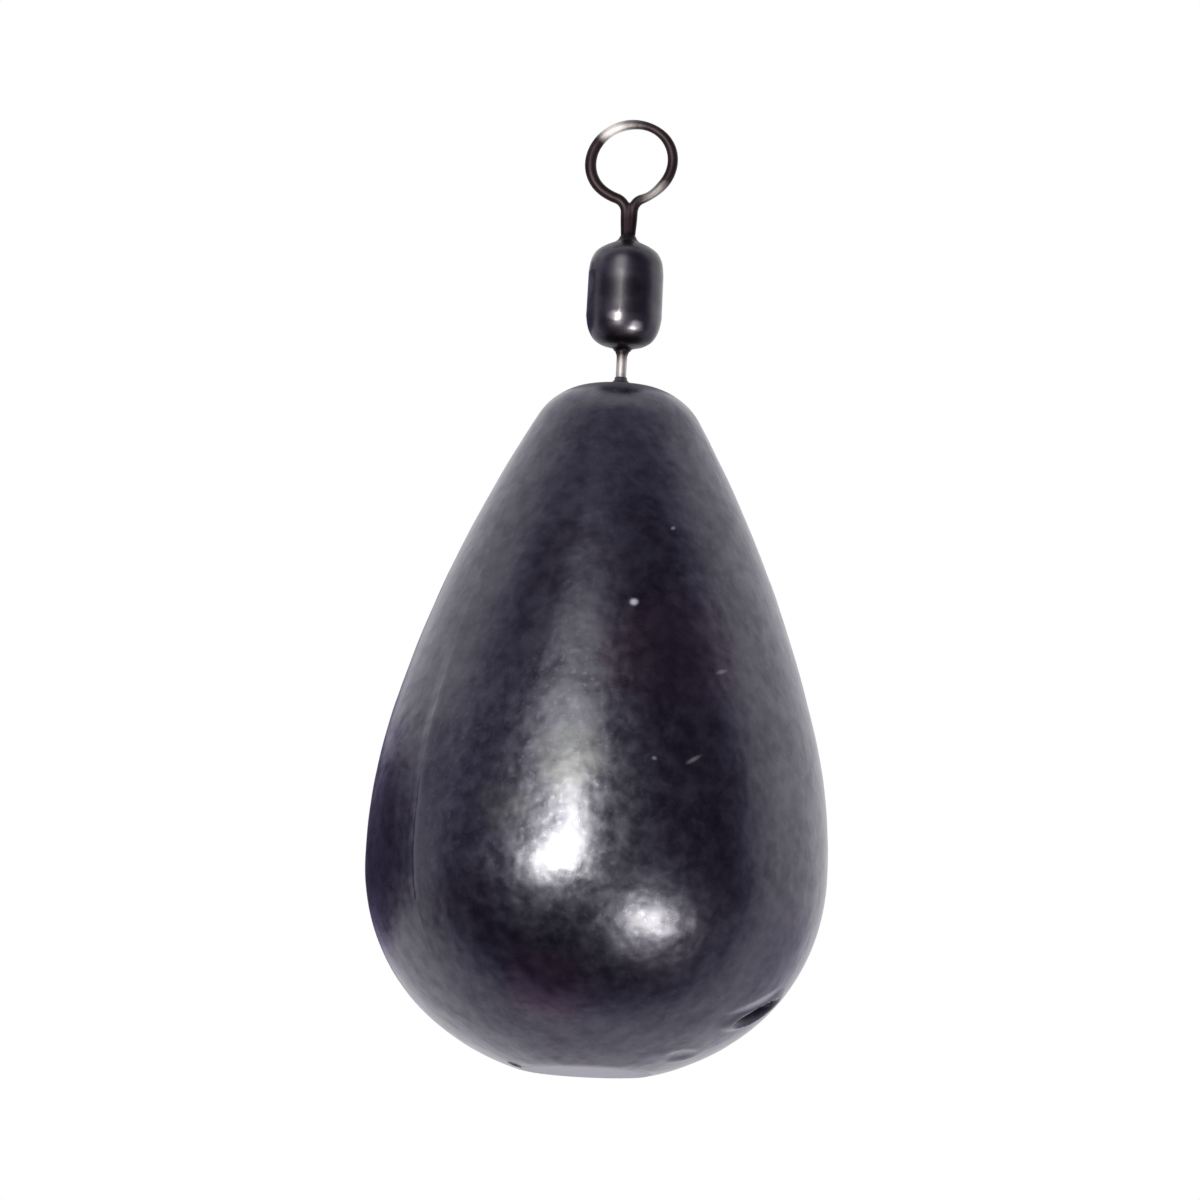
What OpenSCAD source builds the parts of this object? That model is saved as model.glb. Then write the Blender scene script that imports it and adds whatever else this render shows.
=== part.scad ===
// Pear-shaped fishing sinker, cast in lead round the lower eye of a barrel swivel.
// It stands on the small flat where its casting gate was trimmed off.
// Millimetres. The origin is the middle of that flat and +Z runs up the swivel's axis.
// The front faces -Y, with +X to its right.

/* [Lead body] */
// Widest diameter of the lead
lead_d = 24; // [21:0.1:30]
// Diameter of the flat left by the trimmed gate
foot_d = 6.7; // [4:0.1:10]
// Radius of the outline between the bowl and the widest ring
belly_r = 10.5; // [9.2:0.1:12]
// Height of that arc, below the widest ring
belly_drop = 8.4; // [6:0.1:8.8]
// Radius of the outline just above the widest ring
flank_r = 29.25; // [22:0.05:36]
// Height of that arc, above the widest ring
flank_rise = 8.19; // [5:0.01:10]
// Height of the crown above the widest ring
crown_rise = 25.38; // [21:0.01:30]
// Radius of the shoulder below the crown
shoulder_r = 3.75; // [2.5:0.05:5]
// Diameter of the flat crown that the wire comes out of
crown_d = 2.04; // [1.8:0.01:4]
// Height of the collar of lead that climbed the wire
collar_h = 0.4; // [0.2:0.05:0.45]
// Thickness of that collar at its top, round the wire
collar_wall = 0.07; // [0.05:0.01:0.09]

/* [Casting marks] */
// Width of the ridge where the two mould halves met
seam_w = 0.3; // [0.1:0.05:0.8]
// Height of that ridge above the lead's surface
seam_rise = 0.1; // [0.05:0.01:0.3]
// Angle from the front round to the ridge, towards -X
seam_turn = 50; // [0:1:90]
// Length of the casting pit low on the right
pit_l = 2.5; // [1.5:0.1:4]
// Width of the pit
pit_w = 1.1; // [0.6:0.1:2]
// Depth of the pit
pit_depth = 0.4; // [0.2:0.05:0.8]
// Angle from the front round to the pit, towards +X
pit_turn = 75; // [0:1:90]
// Angle of the pit below the widest ring, on the belly arc
pit_drop = 43; // [20:1:50]
// Lean of the pit's length away from upright
pit_lean = 34; // [-90:1:90]

/* [Swivel barrel] */
// Outer diameter of the barrel
barrel_d = 3.95; // [3.6:0.05:5]
// Length of the barrel between its end faces
barrel_l = 5.4; // [4.6:0.05:9]
// Radius of the barrel's rounded ends
barrel_round = 1.55; // [1:0.05:1.7]
// Wall thickness of the barrel
barrel_wall = 0.35; // [0.25:0.05:0.5]
// Width of the lip round each end hole
lip_w = 0.15; // [0.1:0.01:0.3]
// Height of the lip above the end face
lip_h = 0.12; // [0.05:0.01:0.3]
// Space between the lead's crown and the barrel's lower end face
barrel_gap = 2.1; // [1.4:0.05:4]

/* [Wire eyes] */
// Diameter of the wire
wire_d = 0.54; // [0.4:0.01:0.7]
// Inner diameter of each eye's loop
eye_bore = 3.6; // [2.6:0.05:5]
// Width across the two legs of wire where they are pressed together
neck_w = 0.86; // [0.82:0.01:1]
// Length of the upper eye's pressed legs, from the barrel's end face to where they part
neck_l = 1.75; // [0.8:0.05:3]
// Depth below the crown at which the lower eye's legs part
root_l = 0.4; // [0.2:0.05:1.5]
// Centre-line radius of the bend from the legs out to the loop
flare_r = 0.6; // [0.4:0.05:1]
// Diameter of the round shank that turns in the barrel's end hole
shank_d = 0.94; // [0.88:0.01:1.1]
// Radial clearance between the shank and the end hole
shank_clear = 0.05; // [0.02:0.01:0.1]
// Length of shank that shows outside the lip
shank_out = 0.1; // [0.05:0.01:0.3]
// Diameter of the head inside the barrel
head_d = 1.7; // [1.3:0.05:2.2]
// Thickness of that head
head_t = 0.5; // [0.3:0.05:0.8]
// End play of the head inside the barrel
end_play = 0.08; // [0.03:0.01:0.2]

/* [Hidden] */

// Overlap that lets cutting shapes pass the faces that they cut
past = 1;

// Fragments round the axis, along the outline's long arcs and round the wire
$fn = 96;
outline_fn = 360;
wire_fn = 48;

lead_colour = [0.27, 0.26, 0.31];
barrel_colour = [0.13, 0.13, 0.18];
wire_colour = [0.33, 0.29, 0.3];

// The unit vector, in the outline's own [radius, height] plane, that rises by a height
function unit_at_height(h) = [sqrt(1 - h * h), h];

// The lead's outline is a chain of tangent arcs, with its heights counted from the widest
// ring. Each pair meets along a unit vector that points straight out of both arcs. The
// bowl's centre lies on the axis, and the taper is the one arc that meets both the
// flank's upper end and the shoulder.
belly_c = [lead_d / 2 - belly_r, 0];
belly_out = unit_at_height(-belly_drop / belly_r);
bowl_r = belly_r + belly_c[0] / belly_out[0];
bowl_c = belly_c - (bowl_r - belly_r) * belly_out;
flank_c = [lead_d / 2 - flank_r, 0];
flank_out = unit_at_height(flank_rise / flank_r);
shoulder_c = [crown_d / 2, crown_rise - shoulder_r];
to_flank = flank_c + flank_r * flank_out - shoulder_c;
taper_r = (to_flank * to_flank - shoulder_r * shoulder_r)
    / (2 * (to_flank * flank_out - shoulder_r));
taper_c = flank_c + (flank_r - taper_r) * flank_out;
taper_out = (shoulder_c - taper_c) / norm(shoulder_c - taper_c);

// The gate flat cuts the bowl where it is foot_d wide, and that is z = 0
widest_z = sqrt(bowl_r * bowl_r - foot_d * foot_d / 4) - bowl_c[1];
lead_h = widest_z + crown_rise;

// The swivel stands over the crown
barrel_z = lead_h + barrel_gap;
barrel_top = barrel_z + barrel_l;
hole_r = shank_d / 2 + shank_clear;
inner_round = barrel_round - barrel_wall;

// How far the barrel's inner end wall has curved away at the rim of a head
end_flat = barrel_d / 2 - barrel_round;
rim_out = max(0, head_d / 2 - end_flat);
rim_drop = inner_round - sqrt(inner_round * inner_round - rim_out * rim_out);

// Each eye is drawn upwards from the end face that it leaves, as height above that face
loop_r = (eye_bore + wire_d) / 2;
leg_x = (neck_w - wire_d) / 2;
flare_x = leg_x + flare_r;
loop_rise = sqrt(pow(loop_r + flare_r, 2) - flare_x * flare_x);
bend_a = atan2(loop_rise, flare_x);
lower_neck = barrel_gap + root_l;
shank_top = lip_h + shank_out;
head_top = -(barrel_wall + rim_drop + end_play);

// The part of a disc between two heights and outside the axis
module band(centre, r, low, high) {
    intersection() {
        translate(centre) circle(r, $fn = outline_fn);
        polygon([[0, low], [lead_d, low], [lead_d, high], [0, high]]);
    }
}

// The lead's half outline, with every arc moved outwards by grow
module lead_outline(grow) {
    belly_low = belly_c[1] + (belly_r + grow) * belly_out[1];
    flank_top = flank_c[1] + (flank_r + grow) * flank_out[1];
    taper_top = taper_c[1] + (taper_r + grow) * taper_out[1];
    shoulder_top = shoulder_c[1] + shoulder_r + grow;
    inner = shoulder_c[0];
    translate([0, widest_z]) {
        band(bowl_c, bowl_r + grow, -widest_z, belly_low);
        band(belly_c, belly_r + grow, belly_low, belly_c[1]);
        band(flank_c, flank_r + grow, flank_c[1], flank_top);
        band(taper_c, taper_r + grow, flank_top, taper_top);
        band(shoulder_c, shoulder_r + grow, taper_top, shoulder_top);
        polygon([[0, taper_top], [inner, taper_top], [inner, shoulder_top], [0, shoulder_top]]);
    }
}

// The mould line is the skin of a slightly larger lead, kept inside a thin upright slab
module seam() {
    intersection() {
        rotate_extrude() lead_outline(seam_rise);
        rotate([0, 0, -seam_turn])
            translate([-seam_w / 2, -lead_d, 0])
                cube([seam_w, 2 * lead_d, lead_h + past]);
    }
}

// Lead that climbed the wire before it set
module collar() {
    foot_r = neck_w / 2 + collar_wall + collar_h;
    translate([0, 0, lead_h])
        rotate_extrude()
            difference() {
                square([foot_r, collar_h]);
                translate([foot_r, collar_h]) circle(collar_h);
            }
}

// A bar with round ends, standing on Z, middle at the origin
module round_bar(length, width) {
    straight = length - width;
    rotate_extrude()
        intersection() {
            union() {
                translate([0, -straight / 2]) circle(width / 2);
                translate([0, -straight / 2]) square([width / 2, straight]);
                translate([0, straight / 2]) circle(width / 2);
            }
            translate([0, -length / 2]) square([width, length]);
        }
}

// The pit is a round bar sunk into the belly arc
module pit() {
    rotate([0, 0, pit_turn - 90])
        translate([belly_c[0], 0, widest_z + belly_c[1]])
            rotate([0, pit_drop, 0])
                translate([belly_r + pit_w / 2 - pit_depth, 0, 0])
                    rotate([pit_lean, 0, 0])
                        round_bar(pit_l, pit_w);
}

// A piece of round wire bent along a circle in the XZ plane, between two angles
module bend(centre, r, from, to) {
    translate([centre[0], 0, centre[1]])
        rotate([90, 0, 0])
            rotate([0, 0, from])
                rotate_extrude(angle = to - from)
                    translate([r, 0]) circle(wire_d / 2, $fn = wire_fn);
}

// The loop of an eye whose pressed legs end at the height neck
module loop(neck) {
    bend([0, neck + loop_rise], loop_r, -bend_a, 180 + bend_a);
}

// One leg of an eye, with the reverse bend that leads it out to the loop
module leg(neck) {
    translate([leg_x, 0, shank_top])
        cylinder(d = wire_d, h = neck - shank_top, $fn = wire_fn);
    bend([flare_x, neck], flare_r, 180 - bend_a, 180);
}

// Both legs of an eye
module legs(neck) {
    leg(neck);
    mirror([1, 0, 0]) leg(neck);
}

// A whole eye: the bent wire, its round shank and the head that holds it in the barrel
module eye(neck) {
    loop(neck);
    legs(neck);
    translate([0, 0, head_top]) cylinder(d = shank_d, h = shank_top - head_top);
    translate([0, 0, head_top - head_t]) cylinder(d = head_d, h = head_t);
}

// Hangs its children under the barrel, a quarter turn from the upper eye
module under_barrel() {
    translate([0, 0, barrel_z])
        rotate([180, 0, 90])
            children();
}

// Half outline of a drum with rounded ends, standing on z = 0
module drum_outline(width, height, round_r) {
    flat = width / 2 - round_r;
    square([flat, height]);
    translate([0, round_r]) square([width / 2, height - 2 * round_r]);
    translate([flat, round_r]) circle(round_r);
    translate([flat, height - round_r]) circle(round_r);
}

// Half section of the hollow barrel, with its two end holes and their lips
module barrel_section() {
    difference() {
        union() {
            intersection() {
                drum_outline(barrel_d, barrel_l, barrel_round);
                square([barrel_d, barrel_l]);
            }
            translate([0, -lip_h]) square([hole_r + lip_w, barrel_l + 2 * lip_h]);
        }
        translate([0, barrel_wall])
            drum_outline(barrel_d - 2 * barrel_wall, barrel_l - 2 * barrel_wall, inner_round);
        translate([0, -lip_h - past]) square([hole_r, barrel_l + 2 * (lip_h + past)]);
    }
}

// The eye that is cast into the lead
module lower_eye() {
    color(wire_colour)
        under_barrel()
            eye(lower_neck);
}

// The lead fills round the wire, so the loop and the legs are cut out of it
module lead_body() {
    color(lead_colour)
        difference() {
            difference() {
                union() {
                    rotate_extrude() lead_outline(0);
                    seam();
                    collar();
                }
                pit();
                under_barrel() loop(lower_neck);
            }
            under_barrel() legs(lower_neck);
        }
}

// The barrel turns on the lower eye, and the upper eye turns in it
module swivel_barrel() {
    color(barrel_colour)
        translate([0, 0, barrel_z])
            rotate_extrude()
                barrel_section();
}

// The eye that the line is tied to
module upper_eye() {
    color(wire_colour)
        translate([0, 0, barrel_top])
            eye(neck_l);
}

lead_body();
lower_eye();
swivel_barrel();
upper_eye();
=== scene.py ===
# %% [markdown]
# A pear-shaped fishing sinker, cast in lead round the lower eye of a barrel swivel. The
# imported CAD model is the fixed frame: it says how big each piece is and what it rides on.
# Here each piece gets the shape and the finish that a close look at the real one shows.

import math

import bmesh
import bpy
from mathutils import Matrix, Vector


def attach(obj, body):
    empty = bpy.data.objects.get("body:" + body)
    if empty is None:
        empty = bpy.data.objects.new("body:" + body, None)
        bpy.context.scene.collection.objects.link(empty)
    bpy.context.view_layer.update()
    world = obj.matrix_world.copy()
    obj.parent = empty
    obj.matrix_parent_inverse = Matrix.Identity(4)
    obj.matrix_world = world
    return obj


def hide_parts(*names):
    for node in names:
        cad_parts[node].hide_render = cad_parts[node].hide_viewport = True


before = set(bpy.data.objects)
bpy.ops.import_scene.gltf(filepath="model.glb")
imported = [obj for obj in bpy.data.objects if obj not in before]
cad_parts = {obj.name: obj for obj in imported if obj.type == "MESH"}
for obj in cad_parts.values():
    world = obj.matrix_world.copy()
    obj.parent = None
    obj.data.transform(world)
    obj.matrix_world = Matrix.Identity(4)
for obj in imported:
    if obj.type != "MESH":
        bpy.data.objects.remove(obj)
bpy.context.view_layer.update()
print("pieces in the frame:", sorted(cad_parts))

# %% [markdown]
# The camera stands a little below the sinker's middle and looks up by seven degrees, so
# the trimmed gate under the lead just shows. A long lens from 60 cm away keeps the
# outline nearly free of perspective. The sinker leans a little in the picture, and a
# small roll of the camera gives that lean without turning the object itself.

# %% Camera
MM = 0.001
camera_distance = 600 * MM
camera_drop = math.radians(7)
camera_roll = math.radians(2.9)
picture_width = 62.4 * MM
aim = Vector((-0.5, 0, 24.64)) * MM

camera_data = bpy.data.cameras.new("camera")
camera_data.sensor_width = 36
camera_data.lens = 36 * camera_distance / picture_width
camera_data.clip_start = 0.01
camera_data.clip_end = 10
camera = bpy.data.objects.new("camera", camera_data)
bpy.context.scene.collection.objects.link(camera)
looks_along = Vector((0, math.cos(camera_drop), math.sin(camera_drop)))
upright = looks_along.to_track_quat("-Z", "Y").to_matrix().to_4x4()
rolled = upright @ Matrix.Rotation(camera_roll, 4, "Z")
camera.matrix_world = Matrix.Translation(aim - looks_along * camera_distance) @ rolled
bpy.context.scene.camera = camera
bpy.context.scene.view_settings.view_transform = "Standard"
print("lens in millimetres:", round(camera_data.lens, 1))

# %% [markdown]
# Node trees are long to write by hand, so a few short helpers come first. One places a
# node and fills its inputs, the next ones do a step of arithmetic, and the last starts a
# group with its named sockets. They serve the Geometry Nodes that make shapes and the
# shader nodes alike.

# %% Helpers for node trees
def put(tree, kind, wires=None, **settings):
    """Adds a node, then gives its inputs values or links."""
    node = tree.nodes.new(kind)
    for name, value in settings.items():
        setattr(node, name, value)
    for key, value in (wires or {}).items():
        socket = node.inputs[key]
        if isinstance(value, bpy.types.NodeSocket):
            tree.links.new(value, socket)
        else:
            socket.default_value = value
    return node


def maths(tree, operation, *values):
    """One step of arithmetic on numbers."""
    node = put(tree, "ShaderNodeMath", dict(enumerate(values)), operation=operation)
    return node.outputs[0]


def along(tree, vector, direction):
    """How far a vector reaches along a direction."""
    wires = {0: vector, 1: direction}
    return put(tree, "ShaderNodeVectorMath", wires, operation="DOT_PRODUCT").outputs["Value"]


def ramp(tree, value, start, end, low=0.0, high=1.0):
    """Goes smoothly from low to high while the value goes from start to end."""
    wires = {"Value": value, 1: start, 2: end, 3: low, 4: high}
    node = put(tree, "ShaderNodeMapRange", wires, interpolation_type="SMOOTHSTEP")
    return node.outputs["Result"]


def new_group(name, kind, inputs, outputs):
    """Starts a node group; gives the tree, what comes in and what goes out."""
    tree = bpy.data.node_groups.new(name, kind)
    for label, socket_type in inputs:
        tree.interface.new_socket(label, in_out="INPUT", socket_type=socket_type)
    for label, socket_type in outputs:
        tree.interface.new_socket(label, in_out="OUTPUT", socket_type=socket_type)
    given = tree.nodes.new("NodeGroupInput")
    result = tree.nodes.new("NodeGroupOutput")
    return tree, given.outputs, result.inputs


NUMBER = "NodeSocketFloat"
WHOLE = "NodeSocketInt"
VECTOR = "NodeSocketVector"
SHAPE = "NodeSocketGeometry"
FINISH = "NodeSocketMaterial"
print("node helpers are ready")

# %% [markdown]
# Cast lead, plated brass and drawn wire all share two kinds of unevenness: a fine grain,
# which breaks up the edges of a highlight, and slow clouds of tarnish. A single group
# makes both, with sizes in millimetres, and each finish uses it with its own sizes. A
# second group marks a patch round a point, such as a scratch or a rubbed place. The
# patch is an oval, and so is a dent in the casting, so both measure it the same way.

# %% Shader groups shared by the finishes
def make_grain_group():
    inputs = [("Place", VECTOR), ("Grain Size", NUMBER), ("Cloud Size", NUMBER)]
    outputs = [("Grain", NUMBER), ("Clouds", NUMBER)]
    tree, given, result = new_group("metal_grain", "ShaderNodeTree", inputs, outputs)
    grain_scale = maths(tree, "DIVIDE", 1 / MM, given["Grain Size"])
    cloud_scale = maths(tree, "DIVIDE", 1 / MM, given["Cloud Size"])
    wires = {"Vector": given["Place"], "Scale": grain_scale, "Detail": 1.0, "Roughness": 0.5}
    grain = put(tree, "ShaderNodeTexNoise", wires)
    wires = {"Vector": given["Place"], "Scale": cloud_scale, "Detail": 3.0, "Roughness": 0.5}
    wires["Distortion"] = 0.15
    clouds = put(tree, "ShaderNodeTexNoise", wires)
    tree.links.new(grain.outputs[0], result["Grain"])
    tree.links.new(ramp(tree, clouds.outputs[0], 0.25, 0.75), result["Clouds"])
    return tree


OVAL = [("Middle", VECTOR), ("Lengthwise", VECTOR), ("Crosswise", VECTOR)]
OVAL += [("Half Length", NUMBER), ("Half Width", NUMBER)]


def measure_oval(tree, given, point):
    """The square of the reach, which is 1 on the oval's rim, and the plain distance."""
    wires = {0: point, 1: given["Middle"]}
    offset = put(tree, "ShaderNodeVectorMath", wires, operation="SUBTRACT").outputs[0]
    distance = put(tree, "ShaderNodeVectorMath", {0: offset}, operation="LENGTH").outputs["Value"]
    lengthwise = along(tree, offset, given["Lengthwise"])
    crosswise = along(tree, offset, given["Crosswise"])
    long_part = maths(tree, "DIVIDE", lengthwise, given["Half Length"])
    cross_part = maths(tree, "DIVIDE", crosswise, given["Half Width"])
    squares = maths(tree, "ADD", maths(tree, "POWER", long_part, 2.0),
                    maths(tree, "POWER", cross_part, 2.0))
    return squares, distance


def make_patch_group():
    inputs = [("Place", VECTOR)] + OVAL + [("Ragged", NUMBER), ("Edge", NUMBER)]
    tree, given, result = new_group("patch", "ShaderNodeTree", inputs, [("Mask", NUMBER)])
    squares, distance = measure_oval(tree, given, given["Place"])
    depth_part = maths(tree, "POWER", maths(tree, "DIVIDE", distance, given["Half Length"]), 2.0)
    squares = maths(tree, "ADD", squares, maths(tree, "MULTIPLY", depth_part, 0.3))
    wires = {"Vector": given["Place"], "Scale": 1 / (0.35 * MM), "Detail": 2.0}
    rough_edge = put(tree, "ShaderNodeTexNoise", wires).outputs[0]
    uneven = maths(tree, "MULTIPLY", maths(tree, "SUBTRACT", rough_edge, 0.5), given["Ragged"])
    reach = maths(tree, "ADD", maths(tree, "SQRT", squares), uneven)
    outer = maths(tree, "ADD", 0.85, given["Edge"])
    inner = maths(tree, "SUBTRACT", 0.85, given["Edge"])
    tree.links.new(ramp(tree, reach, outer, inner), result["Mask"])
    return tree


grain_group = make_grain_group()
patch_group = make_patch_group()
print("shader groups:", grain_group.name, patch_group.name)

# %% [markdown]
# The lead's outline is a chain of arcs that meet without a kink: a bowl, a belly, a long
# flank, a longer taper and a small shoulder. The same radii stand in the CAD source. The
# outline is worked out first, because the marks on the lead and the patches in its
# finish are placed on it by their angle and height.

# %% The lead's outline
lead_r = 12.0
foot_r = 3.35
belly_r = 10.5
belly_drop = 8.4
flank_r = 29.25
flank_rise = 8.19
crown_rise = 25.38
shoulder_r = 3.75
crown_r = 1.02

belly_c = Vector((lead_r - belly_r, 0))
belly_end = -math.asin(belly_drop / belly_r)
bowl_r = belly_r + belly_c.x / math.cos(belly_end)
bowl_c = belly_c - Vector((math.cos(belly_end), math.sin(belly_end))) * (bowl_r - belly_r)
foot_end = -math.acos(foot_r / bowl_r)
flank_c = Vector((lead_r - flank_r, 0))
flank_end = math.asin(flank_rise / flank_r)
flank_out = Vector((math.cos(flank_end), math.sin(flank_end)))
shoulder_c = Vector((crown_r, crown_rise - shoulder_r))
to_flank = flank_c + flank_out * flank_r - shoulder_c
taper_r = (to_flank.dot(to_flank) - shoulder_r ** 2) / (2 * (to_flank.dot(flank_out) - shoulder_r))
taper_c = flank_c + flank_out * (flank_r - taper_r)
taper_end = math.atan2(shoulder_c.y - taper_c.y, shoulder_c.x - taper_c.x)
widest_z = -(bowl_c.y + bowl_r * math.sin(foot_end))
crown_z = widest_z + crown_rise


def arc(centre, radius, start, end, step):
    """Points on an arc after its start, about a step apart, as (distance out, height)."""
    count = max(2, math.ceil(abs(end - start) * radius / step))
    angles = [start + (end - start) * (i + 1) / count for i in range(count)]
    return [(centre[0] + radius * math.cos(a), centre[1] + radius * math.sin(a)) for a in angles]


def lead_outline():
    """From the middle of the foot, up the side, to the top of the collar of lead."""
    edge_r = 0.18
    foot = [(foot_r * i / 9, 0) for i in range(9)]
    foot += [(foot_r - edge_r, 0), (foot_r - edge_r / 3, 0.01), (foot_r + edge_r / 3, 0.045)]
    collar_r = 0.4
    collar_foot = 0.9
    side = arc(bowl_c, bowl_r, foot_end + 0.01, belly_end, 0.2)
    side += arc(belly_c, belly_r, belly_end, 0, 0.2)
    side += arc(flank_c, flank_r, 0, flank_end, 0.32)
    side += arc(taper_c, taper_r, flank_end, taper_end, 0.4)
    side += arc(shoulder_c, shoulder_r, taper_end, math.pi / 2, 0.2)
    side += arc((collar_foot, crown_rise + collar_r), collar_r, -math.pi / 2, -math.pi, 0.08)
    side = [(out, height + widest_z) for out, height in side]
    return foot + side + [(0.25, side[-1][1]), (0, side[-1][1])]


lead_points = lead_outline()
print("points on the lead's outline:", len(lead_points))
print("crown at", round(crown_z, 3), "mm, taper radius", round(taper_r, 2), "mm")

# %% [markdown]
# A place on the lead is said as one would find it on the real one: how far round from the
# front, in degrees to the right, and how high over the foot. The mould line is the cut of
# one upright plane through the axis, seen left of the middle.

# %% Places on the lead
FRONT = -math.pi / 2
seam_angle = FRONT - math.radians(52)
seam_front = Vector((math.cos(seam_angle), math.sin(seam_angle), 0))
seam_side = Vector((-math.sin(seam_angle), math.cos(seam_angle), 0))


def on_lead(turn, height):
    """A point of the lead's side, turned from the front towards the right by degrees.

    Gives the point in millimetres, the way round and the way up along the surface.
    """
    above = [p for p in lead_points if p[1] >= height][0]
    below = lead_points[lead_points.index(above) - 1]
    share = (height - below[1]) / (above[1] - below[1])
    out = below[0] + share * (above[0] - below[0])
    angle = FRONT + math.radians(turn)
    radial = Vector((math.cos(angle), math.sin(angle), 0))
    around = Vector((-math.sin(angle), math.cos(angle), 0))
    upward = radial * (above[0] - below[0]) + Vector((0, 0, above[1] - below[1]))
    return radial * out + Vector((0, 0, height)), around, upward.normalized()


def slanted(around, upward, lean):
    """The directions along and across a mark that leans by some degrees."""
    tilt = math.radians(lean)
    lengthwise = around * math.cos(tilt) + upward * math.sin(tilt)
    crosswise = upward * math.cos(tilt) - around * math.sin(tilt)
    return lengthwise, crosswise


print("front of the widest ring:", [round(c, 2) for c in on_lead(0, widest_z)[0]])

# %% [markdown]
# The lead is dark and softly shiny, like gunmetal. It hardly scatters light: its centre
# is near black because it mirrors the dim room behind the camera, and its rims are grey
# because they mirror the white backdrop. That calls for a metal with a dark colour and a
# smoother skin over it, as handling gives lead: the metal spreads each highlight into a
# glow, and the coat puts a clear core in it. Soft wisps change how much both shine, and
# paler wisps in the colour are strongest on the front: partly wear, partly painted sheen
# in the main highlight's glow. A dark patch on the left is a painted reflection, the
# mould line's crest is a painted highlight, two warm tints come through, and two
# grey-green patches round the main highlight are painted light. The pit is painted
# darker, and the crown under the barrel is painted lighter, as painted light. The
# trimmed foot and the scratches are fresh, brighter metal, and the bright dot on the
# pimple is a painted glint.

# %% Finish of the lead
def start_metal(name):
    """A new metal; gives its tree, its Principled shader and the place on the piece."""
    material = bpy.data.materials.new(name)
    material.use_nodes = True
    tree = material.node_tree
    shader = tree.nodes["Principled BSDF"]
    shader.inputs["Metallic"].default_value = 1.0
    place = tree.nodes.new("ShaderNodeTexCoord").outputs["Object"]
    return material, tree, shader, place


def blend_colour(tree, mask, under, over):
    """Lays a colour over another where the mask says so."""
    node = put(tree, "ShaderNodeMix", data_type="RGBA", clamp_factor=True)
    tree.links.new(mask, node.inputs[0])
    for socket, colour in ((node.inputs[6], under), (node.inputs[7], over)):
        if isinstance(colour, bpy.types.NodeSocket):
            tree.links.new(colour, socket)
        else:
            socket.default_value = (*colour, 1)
    return node.outputs[2]


def patch_mask(tree, place, middle, ways, reach, ragged, edge):
    """A mask round a point in millimetres, long one way and wide the other way."""
    wires = {"Place": place, "Middle": Vector(middle) * MM, "Ragged": ragged, "Edge": edge}
    wires.update({"Lengthwise": ways[0], "Crosswise": ways[1]})
    wires.update({"Half Length": reach[0] * MM, "Half Width": reach[1] * MM})
    return put(tree, "ShaderNodeGroup", wires, node_tree=patch_group).outputs["Mask"]


def add_patch(tree, place, spot, reach, lean=0.0, ragged=0.5, edge=0.25):
    """A mask over a patch of the lead; the spot is its turn and height."""
    middle, around, upward = on_lead(*spot)
    return patch_mask(tree, place, middle, slanted(around, upward, lean), reach, ragged, edge)


def add_grain(tree, place, grain_size, cloud_size):
    """Fine grain and slow clouds, with their sizes in millimetres."""
    wires = {"Place": place, "Grain Size": grain_size, "Cloud Size": cloud_size}
    node = put(tree, "ShaderNodeGroup", wires, node_tree=grain_group)
    return node.outputs["Grain"], node.outputs["Clouds"]


# Each scratch: its turn and height, half length and half width, its lean and its tone.
# The longest is the rubbed lip of the pit. The one on the pimple is a painted glint.
scratches_and_glint = [((23.8, 15.4), (0.55, 0.12), 32, 0.17), ((34.7, 20.2), (0.42, 0.12), 20, 0.25)]
scratches_and_glint += [((13.3, 15.3), (0.16, 0.12), 0, 0.2), ((7.8, 23.5), (0.27, 0.23), 20, 0.6)]
scratches_and_glint += [((24, 27.7), (0.18, 0.1), 30, 0.3), ((67, 3.9), (2.3, 0.25), 36, 0.5)]
scratches_and_glint += [((128, 14), (0.6, 0.1), 20, 0.25), ((-120, 19), (0.5, 0.1), -50, 0.25)]
# Each tint: its turn and height, its reach and its colour. The first two are warm
# tints; the two grey-green ones, round the main highlight, are painted light.
tints_and_halo_light = [((19, 21), 4.4, (0.125, 0.087, 0.11)), ((-14, 3.5), 3.0, (0.15, 0.1, 0.13))]
tints_and_halo_light += [((-25, 12.4), 1.8, (0.115, 0.12, 0.11)), ((-8, 15.2), 2.2, (0.117, 0.121, 0.116))]


def skin_colour(tree, place, grain, wisps, clouds):
    """Clouds of oxide; paler wisps and specks, strongest on the front, which are wear and painted
    sheen in the main highlight's glow; and a painted dark reflection on the left.
    """
    # Paler wisps and specks are strongest on the front: wear, and painted sheen in the main
    # highlight's glow.
    front = add_patch(tree, place, (-8, 13.5), (9.0, 11.0), ragged=0.0)
    wear_and_sheen = maths(tree, "ADD", maths(tree, "MULTIPLY", front, 0.7), 0.3)
    colour = blend_colour(tree, clouds, (0.052, 0.049, 0.064), (0.072, 0.069, 0.086))
    mottle = maths(tree, "MULTIPLY", maths(tree, "ADD", wisps, clouds), 0.5)
    mottle = maths(tree, "MULTIPLY", mottle, wear_and_sheen)
    colour = blend_colour(tree, mottle, colour, (0.142, 0.142, 0.167))
    specks = maths(tree, "MULTIPLY", ramp(tree, grain, 0.56, 0.7), 0.4)
    specks = maths(tree, "MULTIPLY", specks, wear_and_sheen)
    colour = blend_colour(tree, specks, colour, (0.178, 0.178, 0.205))
    # A painted dark reflection on the lead's left side.
    painted_dark_reflection = add_patch(tree, place, (-78, 12.0), (5.2, 5.0), ragged=0.6)
    painted_dark_reflection = maths(tree, "MULTIPLY", painted_dark_reflection, 0.5)
    return blend_colour(tree, painted_dark_reflection, colour, (0.018, 0.016, 0.025))


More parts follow.
